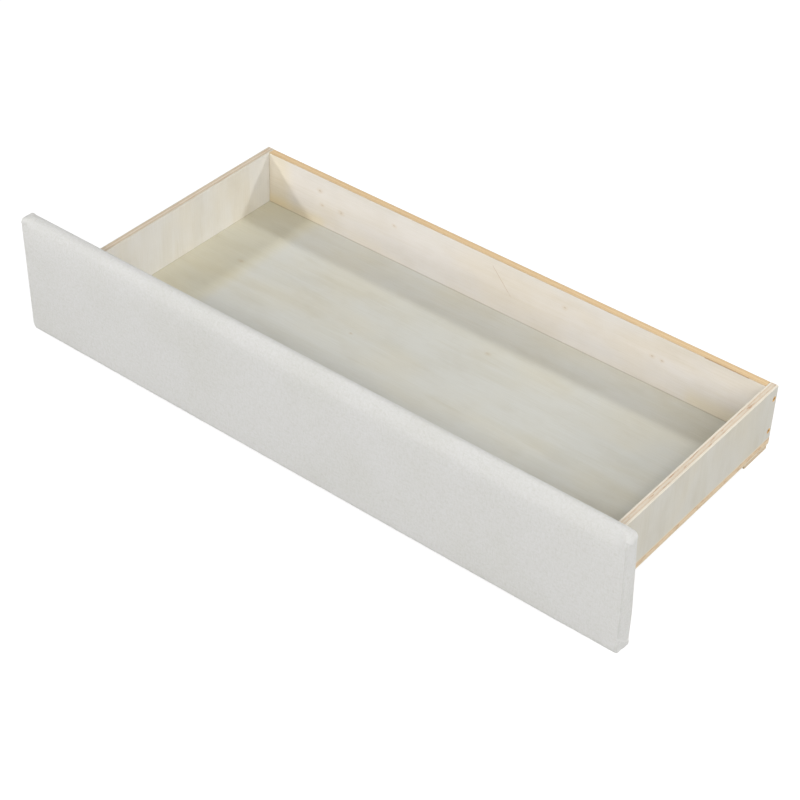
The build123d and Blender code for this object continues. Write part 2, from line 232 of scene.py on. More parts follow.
def make_scratch():
    """A fine scratch between two places on the face, seen as a dark thread."""
    inputs = {"Place": "Vector", "Start": "Vector", "Run": "Vector", "Width": "Float"}
    tree, taken, given = start_group("scratch", inputs, {"Mark": "Float"})
    flat = move_place(tree, "MULTIPLY", taken["Place"], (1.0, 1.0, 0.0))
    ragged = grainy(tree, flat, (0.15, 0.15, 0.0), detail=2.0)
    out = move_place(tree, "SUBTRACT", flat, taken["Start"])
    along = measured(tree, "DOT_PRODUCT", out, taken["Run"])
    length = measured(tree, "DOT_PRODUCT", taken["Run"], taken["Run"])
    share = reckon(tree, "MINIMUM", 1.0, reckon(tree, "MAXIMUM", 0.0, reckon(tree, "DIVIDE", along, length)))
    away = measured(tree, "DISTANCE", out, move_place(tree, "SCALE", taken["Run"], share))
    away = reckon(tree, "ADD", away, reckon(tree, "MULTIPLY_ADD", ragged, 1.2, -0.6))
    away = reckon(tree, "DIVIDE", reckon(tree, "ABSOLUTE", away), taken["Width"])
    tree.links.new(fall(tree, away, 0.3, 1.0), given["Mark"])
    return tree


plywood_group = make_plywood()
knot_group = make_knot()
scratch_group = make_scratch()


def start_material(name):
    """A new material's tree, its surface shader and the part's own coordinates."""
    material = bpy.data.materials.new(name)
    material.use_nodes = True
    tree = material.node_tree
    shader = tree.nodes["Principled BSDF"]
    place = add_node(tree, "TexCoord").outputs["Object"]
    return material, tree, shader, place


def add_bump(tree, shader, height, distance):
    """Relief of this depth in metres, where the height runs from 0 to 1."""
    sockets = {"Height": height, "Strength": 1.0, "Distance": distance}
    tree.links.new(add_node(tree, "Bump", sockets).outputs[0], shader.inputs["Normal"])


def board_material(
    name, node, order, inner, colours, knots=(), scratches=(), shade_seams=(), warm_shade=(), veneer_depth=2.2,
    seed=1.0, voids=1.0,
):
    """Washed plywood for one board. Order names the axes along the grain, across it and through
    the board, and inner is the side of the last of them on which the inside face lies. Knots are
    (along, across, radius). The other marks lie on the inside face: scratches are (start, run,
    width, share), seams, lines of painted shade where another board meets it, are (0 for along or
    1 for across, place), and warm patches of painted shade, where shadows fall on the board, are
    (along, across, half the length, half the width, softness). All are in millimetres from the middle."""
    material, tree, shader, place = start_material(name)
    low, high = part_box(node)
    split = taken_apart(tree, move_place(tree, "SUBTRACT", place, (low + high) / 2))
    turned = add_node(tree, "CombineXYZ", {i: split["XYZ".index(axis)] for i, axis in enumerate(order)})
    place = move_place(tree, "MULTIPLY", turned.outputs[0], (1 / mm, 1 / mm, inner / mm))
    sockets = {"Place": place, "Veneer Depth": veneer_depth, "Seed": seed, "Voids": voids}
    wood = add_group(tree, plywood_group, {**sockets, **colours})
    colour = wood["Colour"]
    for along, across, radius in knots:
        spot = {"Place": place, "Along": along, "Across": across, "Radius": radius}
        knot = add_group(tree, knot_group, spot)
        ring = reckon(tree, "MULTIPLY", knot["Ring"], 0.3)
        heart = reckon(tree, "MULTIPLY", knot["Heart"], 0.38)
        colour = mixed(tree, ring, colour, paint(238, 224, 202), "MULTIPLY")
        colour = mixed(tree, heart, colour, paint(174, 152, 118))

    # Scratches and the warm patches of painted shade take in the arris of the inside face, and the lines of
    # painted shade at the seams the face alone
    split = taken_apart(tree, place)
    near_face = rise(tree, split[2], 4.6, 5.2)
    for begin, run, width, share in scratches:
        line = {"Place": place, "Start": (*begin, 0.0), "Run": (*run, 0.0), "Width": width}
        mark = reckon(tree, "MULTIPLY", add_group(tree, scratch_group, line)["Mark"], near_face)
        colour = mixed(tree, reckon(tree, "MULTIPLY", mark, share), colour, paint(176, 140, 100))
    seam_shade_share = reckon(tree, "MULTIPLY", rise(tree, split[2], 5.8, 5.95), 0.35)
    # Seams: thin lines of painted shade on the inside face, where another board meets it
    for axis, spot in shade_seams:
        away = reckon(tree, "ABSOLUTE", reckon(tree, "SUBTRACT", split[axis], spot))
        mark = fall(tree, away, 0.3, 1.5)
        colour = mixed(tree, reckon(tree, "MULTIPLY", mark, seam_shade_share), colour, paint(150, 138, 116))
    # Warm patches: painted shade, yellowed where shadows fall on the board
    for middle_along, middle_across, half_along, half_across, soft in warm_shade:
        share = near_face
        for axis, middle, half in ((0, middle_along, half_along), (1, middle_across, half_across)):
            away = reckon(tree, "ABSOLUTE", reckon(tree, "SUBTRACT", split[axis], middle))
            inside = fall(tree, away, half - soft, half + soft)
            share = reckon(tree, "MULTIPLY", share, inside)
        colour = mixed(tree, share, colour, paint(255, 251, 238), "MULTIPLY")
    tree.links.new(colour, shader.inputs["Base Color"])
    tree.links.new(wood["Roughness"], shader.inputs["Roughness"])
    add_bump(tree, shader, wood["Height"], 0.4 * mm)
    return material


def dress(material, *names):
    """Gives these pieces of the frame their finish."""
    for name in names:
        nodes[name].data.materials.clear()
        nodes[name].data.materials.append(material)


bottom_colours = {
    "Inside": paint(214, 214, 207),
    "Outside": paint(216, 212, 200),
    "Veneer": paint(232, 220, 196),
    "Cross": paint(231, 207, 172),
    "Centre": paint(233, 213, 182),
}
floor_knots = ((-349.0, 49.5, 2.1), (50.0, 105.9, 1.8), (176.0, -96.0, 1.4), (-120.0, 20.0, 1.2))
# Lines of painted shade where the walls stand on the floor
floor_shade_seams = ((0, -421.0), (0, 421.0), (1, -193.0), (1, 193.0))
# A warm band of painted shade along the left wall, where that wall's shadow falls on the floor
floor_warm_shade = ((-380.0, 0.0, 52.0, 300.0, 14.0),)
bottom_ply = board_material(
    "bottom_ply", "bottom_panel", "XYZ", 1, bottom_colours, floor_knots, shade_seams=floor_shade_seams, warm_shade=floor_warm_shade
)
dress(bottom_ply, "bottom_panel")


# Side boards
# The two sides stand on the bottom panel, flush with its ends, with their face grain upright.
# Their sanded top edges show cream veneers with a pinkish core between them, gaps and all.
side_colours = {
    "Inside": paint(231, 229, 224),
    "Outside": paint(214, 211, 201),
    "Veneer": paint(240, 233, 218),
    "Cross": paint(228, 212, 190),
    "Centre": paint(230, 218, 200),
}
left_colours = {**side_colours, "Veneer": paint(224, 219, 206), "Cross": paint(218, 202, 178)}
left_ply = board_material("left_ply", "side_left", "ZYX", 1, left_colours, seed=2.0, voids=0.4)
right_ply = board_material("right_ply", "side_right", "ZYX", -1, side_colours, veneer_depth=2.9, seed=3.0)
dress(left_ply, "side_left")
dress(right_ply, "side_right")


# Sub-front and back board
# Both are screwed between the sides. They are cut from a warmer sheet with a golden core, and
# the back board shows a few small knots and scratches on the face that looks into the drawer.
end_colours = {
    "Inside": paint(237, 232, 227),
    "Outside": paint(222, 216, 203),
    "Veneer": paint(212, 190, 156),
    "Cross": paint(232, 203, 158),
    "Centre": paint(237, 209, 165),
}
back_knots = (
    (-323.0, 17.4, 2.0), (-319.0, -5.2, 1.6), (-283.0, -3.3, 2.2), (-185.0, 17.6, 1.6),
    (111.0, 16.2, 1.8), (253.0, 5.6, 1.6), (268.6, 5.3, 1.5),
)
# The second, along the top arris, is a crack between face veneer and core, darkened with painted shade
back_scratches = (((-11.0, 29.0), (32.0, -36.0), 0.6, 0.45), ((330.0, 41.8), (66.0, 0.1), 1.2, 0.75))
# Lines of painted shade where the sides and the floor meet the back board
back_shade_seams = ((0, -421.0), (0, 421.0), (1, -42.0))
# Warm patches of painted shade where shadows fall at the left end and at the two lower corners
back_warm_shade = (
    (-421.0, 0.0, 38.0, 60.0, 16.0), (-375.0, -42.0, 60.0, 14.0, 9.0), (370.0, -42.0, 60.0, 20.0, 12.0),
)
back_ply = board_material(
    "back_ply", "box_back", "XZY", -1, end_colours, back_knots, back_scratches, back_shade_seams, back_warm_shade,
    veneer_depth=1.0, seed=4.0, voids=0.05,
)
front_ply = board_material(
    "sub_front_ply", "box_front", "XZY", 1, end_colours, back_knots[3:5], veneer_depth=1.0, seed=5.0,
    voids=0.05,
)
dress(back_ply, "box_back")
dress(front_ply, "box_front")


# Wood screws
# Countersunk steel screws with a yellow zinc finish hold the walls, the bottom panel, the
# battens and the upholstered front. Driving them has rubbed the plating round the cross.
def plated_material(name, plate, worn, roughness, coarse):
    """Plated steel whose colour drifts in soft patches, with fine scuffs."""
    material, tree, shader, place = start_material(name)
    patches = grainy(tree, place, (coarse,) * 3, detail=3.0)
    scuffs = grainy(tree, place, (coarse * 8,) * 3, detail=4.0, roughness=0.7)
    colour = mixed(tree, rise(tree, patches, 0.35, 0.7), plate, worn)
    tree.links.new(colour, shader.inputs["Base Color"])
    shader.inputs["Metallic"].default_value = 1.0
    tree.links.new(reckon(tree, "MULTIPLY_ADD", scuffs, 0.25, roughness), shader.inputs["Roughness"])
    add_bump(tree, shader, scuffs, 0.02 * mm)
    return material


yellow_zinc = plated_material("yellow_zinc", paint(214, 176, 104), paint(196, 148, 84), 0.3, 400.0)
for fixed in ("left_side", "right_side", "bottom", "front_fixing", "batten"):
    dress(yellow_zinc, fixed + "_screws")


# Battens
# Two flat strips of planed softwood under the bottom panel carry the castors. They run the
# whole width, and the ends of the strips show the growth rings of the wood.
pith_offset = 9 * mm
pith_drop = 46 * mm


def softwood_material(name, node, seed):
    """Planed softwood with its grain along X, and arcs of growth rings through the strip."""
    material, tree, shader, place = start_material(name)
    low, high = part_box(node)
    pith = Vector((0.0, (low.y + high.y) / 2 + seed * pith_offset, low.z - pith_drop))
    place = move_place(tree, "SCALE", move_place(tree, "SUBTRACT", place, pith), 1 / mm)
    split = taken_apart(tree, place)
    drift = grainy(tree, place, (0.004, 0.03, 0.03), detail=3.0)
    out = reckon(tree, "ADD", off_line(tree, split[1], split[2]), reckon(tree, "MULTIPLY", drift, 14.0))
    ring = reckon(tree, "FRACT", reckon(tree, "MULTIPLY", out, 0.32))
    late = reckon(tree, "MULTIPLY", rise(tree, ring, 0.45, 0.95), fall(tree, ring, 0.96, 1.0))
    threads = grainy(tree, place, (0.02, 1.6, 1.6), detail=4.0, roughness=0.6)
    colour = mixed(tree, late, paint(222, 205, 178), paint(200, 170, 128))
    colour = mixed(tree, rise(tree, threads, 0.4, 0.75), colour, paint(236, 226, 210), "MULTIPLY")
    tree.links.new(colour, shader.inputs["Base Color"])
    tree.links.new(reckon(tree, "MULTIPLY_ADD", threads, 0.2, 0.5), shader.inputs["Roughness"])
    relief = reckon(tree, "MULTIPLY_ADD", late, 0.3, reckon(tree, "MULTIPLY", threads, 0.4))
    add_bump(tree, shader, relief, 0.2 * mm)
    return material


for name, seed in (("front_batten", 1.0), ("rear_batten", -0.6)):
    dress(softwood_material(name + "_pine", name, seed), name)


# Castors
# Each castor is a pressed and zinc plated bracket, a riveted axle and a moulded nylon wheel,
# held to its batten by four small pan-head screws. The tread is a little worn and dusty.
bright_zinc = plated_material("bright_zinc", paint(196, 199, 202), paint(168, 171, 175), 0.32, 160.0)
castor_bright = plated_material("castor_screw_zinc", paint(206, 207, 209), paint(180, 182, 186), 0.25, 500.0)
dress(castor_bright, "castor_screws")

tread_depth = 1.3 * mm
worn_depth = 0.2 * mm


def nylon_material(name, middle):
    """Black nylon, scuffed to grey on the tread, whose axle runs through this point along X."""
    material, tree, shader, place = start_material(name)
    centred = move_place(tree, "SUBTRACT", place, middle)
    split = taken_apart(tree, centred)
    out = off_line(tree, split[1], split[2])
    speckle = grainy(tree, centred, (900.0,) * 3, detail=4.0, roughness=0.65)
    tread = rise(tree, out, wheel_radius - tread_depth, wheel_radius - worn_depth)
    dusty = reckon(tree, "MULTIPLY", tread, rise(tree, speckle, 0.35, 0.7))
    colour = mixed(tree, speckle, paint(40, 41, 43), paint(52, 53, 55))
    colour = mixed(tree, reckon(tree, "MULTIPLY", dusty, 0.6), colour, paint(120, 117, 110))
    tree.links.new(colour, shader.inputs["Base Color"])
    tree.links.new(reckon(tree, "MULTIPLY_ADD", dusty, 0.3, 0.42), shader.inputs["Roughness"])
    add_bump(tree, shader, speckle, 0.06 * mm)
    return material


for corner in ("front_left", "front_right", "rear_left", "rear_right"):
    dress(bright_zinc, "castor_bracket_" + corner, "castor_axle_" + corner)
    wheel_low, wheel_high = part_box("castor_wheel_" + corner)
    wheel_radius = (wheel_high.z - wheel_low.z) / 2
    dress(nylon_material("nylon_" + corner, (wheel_low + wheel_high) / 2), "castor_wheel_" + corner)


# Board and foam of the upholstered front
# The stiff core is raw particle board, eased at one upper corner, with an 8 mm sheet of foam
# glued to its face. The pulled cloth rounds the foam's edges and squeezes its upper corners.
def chip_material():
    """Pressed wood chips of several browns."""
    material, tree, shader, place = start_material("particle_board")
    chips = add_node(tree, "TexVoronoi", {"Vector": place, "Scale": 420.0, "Randomness": 1.0})
    shade = add_node(tree, "SeparateColor", {0: chips.outputs["Color"]}).outputs[0]
    dust = grainy(tree, place, (1500.0,) * 3, detail=3.0)
    colour = mixed(tree, shade, paint(214, 186, 144), paint(176, 140, 98))
    colour = mixed(tree, rise(tree, dust, 0.4, 0.8), colour, paint(226, 208, 178))
    tree.links.new(colour, shader.inputs["Base Color"])
    shader.inputs["Roughness"].default_value = 0.85
    add_bump(tree, shader, shade, 0.15 * mm)
    return material


def foam_material():
    """Open-cell foam, cream, full of small round pores."""
    material, tree, shader, place = start_material("cream_foam")
    cells = add_node(tree, "TexVoronoi", {"Vector": place, "Scale": 700.0}).outputs["Distance"]
    pore = fall(tree, cells, 0.1, 0.45)
    colour = mixed(tree, reckon(tree, "MULTIPLY", pore, 0.6), paint(240, 230, 196), paint(206, 190, 146))
    tree.links.new(colour, shader.inputs["Base Color"])
    shader.inputs["Roughness"].default_value = 0.95
    add_bump(tree, shader, cells, 0.5 * mm)
    return material


def step_between(value, low, high):
    """0 up to low and 1 from high, with a smooth rise between them."""
    share = min(1, max(0, (value - low) / (high - low)))
    return share * share * (3 - 2 * share)


def spaced(low, high, gap):
    """Places from low to high, evenly spaced by about this gap, with neither end."""
    count = round((high - low) / gap)
    return [low + (high - low) * step / count for step in range(1, count)]


def cut_lines(axis, places):
    """Cuts the whole mesh in edit mode by planes square to this axis."""
    normal = [0, 0, 0]
    normal[axis] = 1
    for place in places:
        point = [0, 0, 0]
        point[axis] = place
        bpy.ops.mesh.select_all(action="SELECT")
        bpy.ops.mesh.bisect(plane_co=point, plane_no=normal)
    bpy.ops.mesh.select_all(action="DESELECT")


def round_edge(first, second, first_radius, second_radius):
    """Moves a place near a square edge on to an ellipse. It takes and gives how far the place
    lies in from each of the two faces that meet there."""
    if first >= first_radius or second >= second_radius:
        return first, second
    across = 1 - first / first_radius
    up = 1 - second / second_radius
    size = math.hypot(across, up)
    return first_radius * (1 - across / size), second_radius * (1 - up / size)


def draw_in(away, radius):
    """How far a rounded end lies in from the flat sides, this far from its tip."""
    if away >= radius:
        return 0.0
    return radius - math.sqrt(radius**2 - (radius - away) ** 2)


end_blend = 14 * mm
full_from_left = (40 * mm, 420 * mm)
full_from_right = (4 * mm, 30 * mm)
lean_height = 42 * mm
lean_depth = 5.4 * mm
lean_full = 3 * mm
arch_skew = 1.6
arch_drop = 8 * mm
sag_reach = 12 * mm
front_band = (2 * mm, 10 * mm)


def pull_round(point, low, high, radii):
    """The place on the padded panel of a point on the square block that it is made from. Radii
    are those of the crown's depth and drop, the toe, the rear edges, the ends and the corners,
    with the squeeze, tuck, sag, arch and lean of the pulled cloth. The crown gets fuller from the
    left end on, the toe sags, the face leans back below the crown, and the top arches, most of
    all behind its middle."""
    x, y, z = point
    in_front, in_rear = y - low.y, high.y - y
    in_top, in_low = high.z - z, z - low.z
    from_end = step_between(high.x - abs(x), 0, end_blend)
    fullness = step_between(x - low.x, *full_from_left) * step_between(high.x - x, *full_from_right)
    crown, drop = (radii[size] + fullness * radii[size + " more"] for size in ("crown", "drop"))
    bow = math.sin(math.pi * min(1, max(0, in_front / (high.y - low.y))) ** arch_skew)
    arch = radii["arch"] * bow * (1 - step_between(in_top, 0, arch_drop))
    sag = radii["sag"] * (1 - step_between(in_low, 0, 2 * radii["toe"]))
    sag *= 1 - step_between(in_front, 0, sag_reach)
    in_front, in_top = round_edge(in_front, in_top, crown, drop)
    near_top = 1 - min(1, in_top / lean_height)
    lean = lean_depth + fullness * (lean_full - lean_depth)
    lean *= near_top**2 * from_end * (1 - min(1, in_front / radii["lean reach"]))
    if in_low < radii["toe"]:
        in_front, in_low = round_edge(in_front, in_low, radii["tuck under"], radii["toe"])
    if in_rear < radii["rear top"]:
        if in_top < in_low:
            in_rear, in_top = round_edge(in_rear, in_top, *[radii["rear top"]] * 2)
        else:
            in_rear, in_low = round_edge(in_rear, in_low, *[radii["rear"]] * 2)
        y = high.y - in_rear
    else:
        y = low.y + in_front
    z = high.z - in_top if in_top < in_low else low.z + in_low
    away = high.x - abs(x)
    middle_y, middle_z = (low.y + high.y) / 2, (low.z + high.z) / 2
    foremost = 1 - step_between(y - low.y, *front_band)
    side_radius = radii["end"] if y < middle_y else radii["rear"]
    if z > middle_z:
        corner = radii["top corner"] + foremost * radii["squeeze"] if x > 0 else radii["left corner"]
    else:
        corner = radii["low corner"] - foremost * radii["tuck"] * (x > 0)
    y = middle_y + (y - middle_y) * (1 - draw_in(away, side_radius) / (high.y - middle_y))
    z = middle_z + (z - middle_z) * (1 - draw_in(away, corner) / (high.z - middle_z))
    return Vector((x, y + lean, z + arch * from_end - sag))


end_reach = 60 * mm
pull_height = 150 * mm
right_pull = 3.5 * mm
left_pull = -2.7 * mm
rear_band = (1 * mm, 9 * mm)
rear_height = 70 * mm
rear_share = 0.8
left_tuck = 1.5 * mm
left_tuck_height = 45 * mm
left_tuck_band = (2 * mm, 12 * mm)
right_slack = 3.0 * mm
right_slack_height = (40 * mm, 125 * mm)
right_slack_band = (2 * mm, 14 * mm)


def shift_ends(point, low, high):
    """How far along x the cloth's pull moves each end near the top, less so at its rear edge,
    and its slackness moves the foot of the left end inwards and the rear of the right one out."""
    inward = point.y - low.y
    near_end = 1 - step_between(high.x - abs(point.x), 0, end_reach)
    rearward = step_between(inward, *rear_band)
    front_pull = step_between(point.z - (high.z - pull_height), 0, pull_height)
    rear_pull = rear_share * step_between(point.z - (high.z - rear_height), 0, rear_height)
    pull = front_pull + rearward * (rear_pull - front_pull)
    if point.x < 0:
        tuck = 1 - step_between(point.z - low.z, 0, left_tuck_height)
        in_front = 1 - step_between(inward, *left_tuck_band)
        return near_end * (left_pull * pull + left_tuck * tuck * in_front)
    slack = 1 - step_between(point.z - low.z, *right_slack_height)
    return near_end * (right_slack * slack * step_between(inward, *right_slack_band) - right_pull * pull)


end_lines = [line * mm for line in (0.3, 1.2, 2.5, 4.2, 7.0, 11.0)]
line_gap = 8.5 * mm


def start_block(name, low, high):
    """A plain block of this box, left in edit mode."""
    bpy.ops.object.select_all(action="DESELECT")
    bpy.ops.mesh.primitive_cube_add(size=1, location=(low + high) / 2)
    block = bpy.context.object
    block.name = name
    block.scale = high - low
    bpy.ops.object.transform_apply(location=True, rotation=True, scale=True)
    bpy.ops.object.mode_set(mode="EDIT")
    return block


def pad_block(name, low, high, radii, depth_lines, height_lines=()):
    """A block of this box, cut into fine strips and pulled round at its edges."""
    pad = start_block(name, low, high)
    cut_lines(0, [low.x + line for line in end_lines] + [high.x - line for line in end_lines])
    cut_lines(0, spaced(low.x + end_lines[-1], high.x - end_lines[-1], line_gap))
    cut_lines(1, depth_lines)
    cut_lines(2, [high.z - radii["drop"] * share for share in (0.04, 0.25, 0.5, 0.75, 1, 1.6, 2.3, 3)])
    cut_lines(2, [low.z + radii["toe"] * share for share in (0.03, 0.12, 0.3, 0.6, 1)])
    cut_lines(2, [*spaced(low.z + radii["toe"], high.z - 3 * radii["drop"], line_gap), *height_lines])
    bpy.ops.object.mode_set(mode="OBJECT")
    for vertex in pad.data.vertices:
        vertex.co = pull_round(vertex.co, low, high, radii)
    return pad


cover_low, cover_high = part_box("front_cover")
board_low, board_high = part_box("front_board")
board_corner = 10 * mm
board_line_gap = 14 * mm
board_arris = 0.4 * mm
board = start_block("front_core_board", board_low, board_high)
cut_lines(0, [board_high.x - board_corner * share for share in (0.03, 0.12, 0.27, 0.5, 0.75, 1, 3)])
cut_lines(2, spaced(board_low.z, board_high.z, board_line_gap))
bpy.ops.object.mode_set(mode="OBJECT")
board_middle = (board_low.z + board_high.z) / 2
for vertex in board.data.vertices:
    if vertex.co.x > 0 and vertex.co.z > board_middle:
        eased = 1 - draw_in(board_high.x - vertex.co.x, board_corner) / (board_high.z - board_middle)
        vertex.co.z = board_middle + (vertex.co.z - board_middle) * eased
        vertex.co.x += shift_ends(vertex.co, cover_low, cover_high)
arris = board.modifiers.new("arris", "BEVEL")
arris.width = board_arris
arris.segments = 2
arris.angle_limit = math.radians(60)
bpy.ops.object.modifier_apply(modifier=arris.name)
board.data.materials.append(chip_material())
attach(board, "drawer")
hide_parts("front_board")

foam_low, foam_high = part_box("front_foam")
foam_squeeze = 0.4 * mm
foam_top_squeeze = 1.6 * mm
foam_low = foam_low + Vector((foam_squeeze, foam_squeeze, foam_squeeze))
foam_high = foam_high - Vector((foam_squeeze, 0, foam_top_squeeze))
foam_radii = {
    "crown": 4 * mm, "crown more": 3.4 * mm, "drop": 8 * mm, "drop more": 14 * mm, "toe": 9 * mm,
    "tuck under": 3 * mm, "rear": 0.1 * mm, "end": 3.2 * mm, "rear top": 0.1 * mm, "top corner": 12 * mm,
    "left corner": 3 * mm, "low corner": 5 * mm, "squeeze": 2 * mm, "tuck": 1 * mm, "sag": 2.5 * mm,
    "arch": 0.1 * mm, "lean reach": 7.6 * mm,
}
foam_lines = [foam_low.y + foam_radii["crown"] * share for share in (0.25, 0.5, 0.75, 1)]
foam = pad_block("front_foam_sheet", foam_low, foam_high, foam_radii, foam_lines)
for vertex in foam.data.vertices:
    vertex.co.x += shift_ends(vertex.co, cover_low, cover_high)
bpy.ops.object.shade_smooth()
foam.data.materials.append(foam_material())
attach(foam, "drawer")
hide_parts("front_foam")


# Front cover
# One piece of off-white woven cloth is pulled over the foam, round the four edges and on to
# the rear, where its raw hems are stapled. The surplus at the corners is folded and tucked in.
cloth_thickness = 0.8 * mm
hem_width = 35 * mm
rear_radius = 1.5 * mm
weave_pitch = 0.62 * mm
board_front = 9 * mm
cover_radii = {
    "crown": 5 * mm, "crown more": 8 * mm, "drop": 9 * mm, "drop more": 13 * mm, "toe": 9 * mm,
    "tuck under": 3 * mm, "rear": rear_radius, "end": 2.5 * mm, "rear top": 2.6 * mm, "top corner": 11 * mm,
    "left corner": 1.3 * mm, "low corner": 4.5 * mm, "squeeze": 1 * mm, "tuck": 2.5 * mm, "sag": 2.5 * mm,
    "arch": 2 * mm, "lean reach": 14 * mm,
}
cover_lines = [cover_low.y + line * mm for line in (0.8, 1.6, 2.4, 3.2, 4, 5, 7, 9, 12)]
cover_lines += [cover_high.y - line * mm for line in (6, 2.6, 1.5, 0.75)]
fold_lines = [cover_high.z - line * mm for line in (1.2, 3.4, 5.6, 7.8, 10.3, 11.6, 13, 16, 18)]
fold_lines += [cover_low.z + line * mm for line in (6, 10.5, 12, 16, 18, 20, 24.5)]
cover = pad_block("front_cover_cloth", cover_low, cover_high, cover_radii, cover_lines, fold_lines)


swell_most = 1.2 * mm


def swell(pad, hold, farthest, pressure=4.0, frames=20):
    """Blows the pad up a little by cloth simulation, held by the vertex group, with no point
    moving farther than this."""
    cloth = pad.modifiers.new("swell", "CLOTH")
    cloth.settings.quality = 6
    cloth.settings.mass = 0.3
    cloth.settings.tension_stiffness = 30
    cloth.settings.compression_stiffness = 30
    cloth.settings.bending_stiffness = 2
    cloth.settings.use_pressure = True
    cloth.settings.uniform_pressure_force = pressure
    cloth.settings.vertex_group_mass = hold
    cloth.settings.effector_weights.gravity = 0
    cloth.collision_settings.use_collision = False
    cloth.point_cache.frame_start = 1
    cloth.point_cache.frame_end = frames
    start = [vertex.co.copy() for vertex in pad.data.vertices]
    for step in range(1, frames + 1):
        bpy.context.scene.frame_set(step)
    shape = pad.evaluated_get(bpy.context.evaluated_depsgraph_get()).data
    blown = [vertex.co.copy() for vertex in shape.vertices]
    pad.modifiers.remove(cloth)
    bpy.context.scene.frame_set(1)
    for vertex, low, high in zip(pad.data.vertices, start, blown):
        moved = high - low
        reach = moved.length
        if reach > 0:
            vertex.co = low + moved * (farthest * (1 - math.exp(-reach / farthest)) / reach)


held = cover.vertex_groups.new(name="held")
for vertex in cover.data.vertices:
    back = (vertex.co.y - cover_low.y - board_front) / (cover_high.y - cover_low.y - board_front)
    end = 1 - (cover_high.x - abs(vertex.co.x) - cover_radii["end"]) / (2 * line_gap)
    held.add([vertex.index], min(1, max(0, back, end)), "REPLACE")
swell(cover, held.name, farthest=swell_most)
cover.vertex_groups.remove(held)

smooth = cover.modifiers.new("smooth", "SUBSURF")
smooth.levels = smooth.render_levels = 1
bpy.context.view_layer.objects.active = cover
bpy.ops.object.modifier_apply(modifier=smooth.name)

# The folded corners stand proud of the ends, the pulled cloth creases beside the front
# edge, and the whole front waves by a fraction of a millimetre as foam does.
fold_band = (4 * mm, 9 * mm)
fold_proud = 0.8 * mm
top_fold_drop = 6.5 * mm
top_fold_dip = (7 * mm, 0, 10 * mm)
top_fold_climb = (3.5 * mm, 11 * mm, 21 * mm)
top_fold_edge = 0.9 * mm
low_fold_height = 22 * mm
low_fold_fall = 0.62
low_fold_edge = 0.7 * mm
crease_depth = 1.4 * mm
crease_inward = 1.9 * mm
crease_width = 0.65 * mm
crease_band = (2 * mm, 4 * mm)
wave_depth = 0.3 * mm
wave_fade = 4 * mm
normals = [vertex.normal.copy() for vertex in cover.data.vertices]
for vertex, normal in zip(cover.data.vertices, normals):
    x, y, z = vertex.co
    away = cover_high.x - abs(x)
    inward = y - cover_low.y
    dip, climb = (size * step_between(inward, *band) for size, *band in (top_fold_dip, top_fold_climb))
    top_fold = cover_high.z - top_fold_drop - (dip - climb)
    top_cap = step_between(z, top_fold - top_fold_edge, top_fold + top_fold_edge)
    top_cap *= 1 - step_between(away, *fold_band)
    low_fold = cover_low.z + low_fold_height - inward * low_fold_fall
    on_end = step_between(abs(normal.x), 0.4, 0.9)
    low_cap = on_end * (1 - step_between(z, low_fold - low_fold_edge, low_fold + low_fold_edge))
    moved = normal * (top_cap * fold_proud)
    moved.x += math.copysign(low_cap * fold_proud, x)
    crease = crease_depth * math.exp(-(((inward - crease_inward) / crease_width) ** 2))
    crease *= (1 - step_between(away, *crease_band)) * (1 - top_cap) * (1 - low_cap)
    moved.x -= math.copysign(crease, x)
    wave = noise.noise(Vector((x * 11, y * 11, z * 14)))
    wave += 0.5 * noise.noise(Vector((x * 34, 7, z * 40)))
    on_foam = 1 - step_between(inward, board_front, board_front + wave_fade)
    moved += normal * (wave * wave_depth * on_foam)
    moved.x += shift_ends(vertex.co, cover_low, cover_high)
    vertex.co += moved

# The cloth's own map runs along the panel and up over the crown, and round on to the ends
weave_map = cover.data.uv_layers.new(name="weave")
for face in cover.data.polygons:
    on_end = abs(face.normal.x) > 0.7
    for loop in face.loop_indices:
        x, y, z = cover.data.vertices[cover.data.loops[loop].vertex_index].co
        inward = y - cover_low.y
        across = math.copysign(cover_high.x + inward, x) if on_end else x
        weave_map.data[loop].uv = (across, z if on_end or abs(face.normal.z) < 0.3 else z + inward)

# Only the hems reach on to the rear, and the cloth gets its thickness inwards
for face in cover.data.polygons:
    middle = face.center
    inside_x = abs(middle.x) < cover_high.x - hem_width
    inside_z = cover_low.z + hem_width < middle.z < cover_high.z - hem_width
    face.select = middle.y > cover_high.y - rear_radius / 2 and inside_x and inside_z
bpy.context.view_layer.objects.active = cover
bpy.ops.object.mode_set(mode="EDIT")
bpy.ops.mesh.delete(type="FACE")
bpy.ops.object.mode_set(mode="OBJECT")
wall = cover.modifiers.new("wall", "SOLIDIFY")
wall.thickness = cloth_thickness
wall.offset = -1
bpy.ops.object.modifier_apply(modifier=wall.name)
bpy.ops.object.shade_smooth()


def make_weave():
    """A plain weave of threads one unit apart on the map, with the light that its gaps lose."""
    tree, taken, given = start_group("plain_weave", {"Map": "Vector"}, {"Height": "Float", "Gap": "Float"})
    split = taken_apart(tree, taken["Map"])
    threads = []
    for first, second, phase in ((split[0], split[1], 0.0), (split[1], split[0], math.pi)):
        bulge = reckon(tree, "ABSOLUTE", reckon(tree, "SINE", reckon(tree, "MULTIPLY", first, math.pi)))
        column = reckon(tree, "MULTIPLY_ADD", reckon(tree, "FLOOR", first), math.pi, phase)
        along = reckon(tree, "MULTIPLY_ADD", second, math.pi, column)
        over = reckon(tree, "MULTIPLY_ADD", reckon(tree, "COSINE", along), 0.3, 0.7)
        threads.append(reckon(tree, "MULTIPLY", bulge, over))
    height = reckon(tree, "MAXIMUM", threads[0], threads[1])
    tree.links.new(height, given["Height"])
    tree.links.new(fall(tree, height, 0.3, 0.75), given["Gap"])
    return tree


weave_group = make_weave()
cloth_colour = paint(231, 230, 229)


